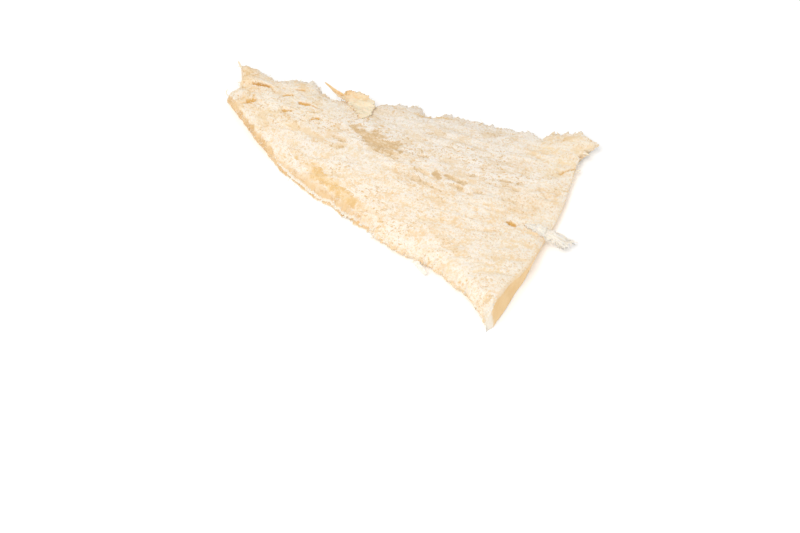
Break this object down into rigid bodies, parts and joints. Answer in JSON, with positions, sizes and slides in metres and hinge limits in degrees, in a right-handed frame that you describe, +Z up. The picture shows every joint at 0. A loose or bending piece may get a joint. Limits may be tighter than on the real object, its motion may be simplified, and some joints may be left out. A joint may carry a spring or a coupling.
{
  "type": "salted dried cod slab",
  "caption": "Cut slab of salted dried cod: narrow tail end, straight belly edge, torn back edge and a broad slanting cut, flat underneath.",
  "frame": {"origin": "middle of the underside's bounding box, on the plane it rests on", "axes": "+X from the narrow tail end to the broad cut, +Y from the belly edge to the torn back edge, +Z up"},
  "size_m": [0.169, 0.1044, 0.0114],
  "materials": {
    "salted_flesh": "dry cream-coloured fish flesh under a crust of fine salt",
    "dried_flake": "thin dried flake of flesh, honey coloured and slightly translucent",
    "skin": "dry grey-brown fish skin with a salt bloom",
    "salt": "coarse white salt grains"
  },
  "bodies": {
    "root": {"cod_slab": "salted_flesh"}
  },
  "joints": []
}
